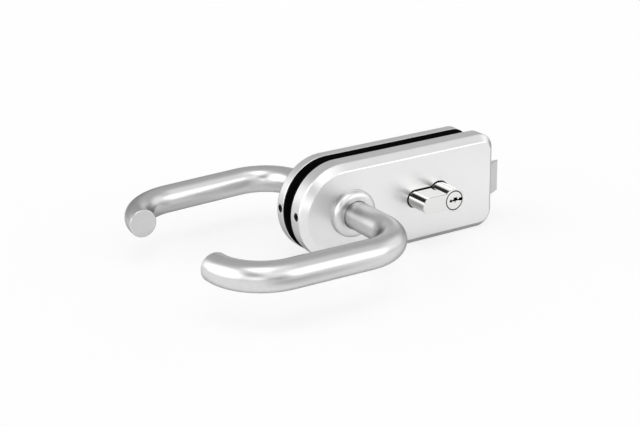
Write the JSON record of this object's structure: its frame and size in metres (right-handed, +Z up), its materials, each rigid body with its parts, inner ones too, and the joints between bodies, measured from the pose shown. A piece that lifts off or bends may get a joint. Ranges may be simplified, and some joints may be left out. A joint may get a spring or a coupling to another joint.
{
  "type": "glass door lever lock",
  "caption": "Lever lock that clamps on the edge of a glass door, with a D-shaped cover and a bent tube lever on each side, a bevelled latch and a profile key cylinder.",
  "frame": {"origin": "on the spindle's axis, in the middle of the gap for the glass", "axes": "+X from the spindle to the latch, +Y from the key side to the rear side, +Z up; levers point to -X"},
  "size_m": [0.2678, 0.1942, 0.07],
  "materials": {
    "satin_steel": "fine satin stainless steel",
    "polished_steel": "polished stainless steel",
    "nickel_plate": "bright nickel plate",
    "black_rubber": "matt black rubber",
    "grey_nylon": "moulded nylon",
    "zinc_steel": "zinc plated pressed steel",
    "hardened_steel": "hardened steel, lightly oiled",
    "black_steel": "blackened screw steel",
    "brass": "turned brass"
  },
  "bodies": {
    "base": {"front_cover": "satin_steel", "rear_cover": "satin_steel", "front_cover_screw": "black_steel", "rear_cover_screw": "black_steel", "front_gasket": "black_rubber", "rear_gasket": "black_rubber", "front_rose": "polished_steel", "rear_rose": "polished_steel", "front_rose_bush": "grey_nylon", "rear_rose_bush": "grey_nylon", "lock_case": "zinc_steel", "lock_case_lid": "zinc_steel", "lid_screws": "zinc_steel", "rear_base_plate": "zinc_steel", "clamp_sleeves": "zinc_steel", "clamp_screws": "black_steel", "latch_guide": "grey_nylon", "return_spring": "zinc_steel", "latch_spring": "zinc_steel", "cylinder_body": "nickel_plate", "cylinder_screw": "zinc_steel", "front_driver_pins": "brass", "front_pin_springs": "zinc_steel", "rear_driver_pins": "brass", "rear_pin_springs": "zinc_steel"},
    "levers": {"front_lever": "satin_steel", "front_lever_core": "zinc_steel", "front_lever_cap": "satin_steel", "front_lever_screw": "black_steel", "rear_lever": "satin_steel", "rear_lever_core": "zinc_steel", "rear_lever_cap": "satin_steel", "rear_lever_screw": "black_steel", "spindle": "hardened_steel", "follower": "hardened_steel"},
    "latch": {"latch_bolt": "nickel_plate"},
    "front_plug": {"front_plug": "nickel_plate", "front_key_pins": "brass", "front_plug_clip": "zinc_steel", "cylinder_cam": "hardened_steel"},
    "rear_plug": {"rear_plug": "nickel_plate", "rear_key_pins": "brass", "rear_plug_clip": "zinc_steel"},
    "locking_slide": {"locking_slide": "zinc_steel"}
  },
  "joints": [
    {"name": "lever_turn", "type": "hinge", "parent": "base", "child": "levers", "pos_m": [0, 0, 0], "axis": [0, -1, 0], "range_deg": [0, 45], "stiffness_Nm_per_rad": 1, "springref_deg": -40.11, "deforming": ["return_spring"]},
    {"name": "latch_slide", "type": "slide", "parent": "base", "child": "latch", "axis": [-1, 0, 0], "range_m": [0, 0.0117], "stiffness_N_per_m": 250, "springref_m": -0.02, "deforming": ["latch_spring"]},
    {"name": "key_turn", "type": "hinge", "parent": "base", "child": "front_plug", "pos_m": [0.0721, 0, -0.00035], "axis": [0, -1, 0], "range_deg": [-60, 0]},
    {"name": "rear_key_turn", "type": "hinge", "parent": "base", "child": "rear_plug", "pos_m": [0.0721, 0, -0.00035], "axis": [0, -1, 0], "range_deg": [-60, 0]},
    {"name": "lock_slide", "type": "slide", "parent": "base", "child": "locking_slide", "axis": [-1, 0, 0], "range_m": [0, 0.012]}
  ],
  "couplings": [
    {"joint": "latch_slide", "follows": "lever_turn", "m_per_rad": 0.014896},
    {"joint": "lock_slide", "follows": "key_turn", "m_per_rad": -0.011459}
  ]
}
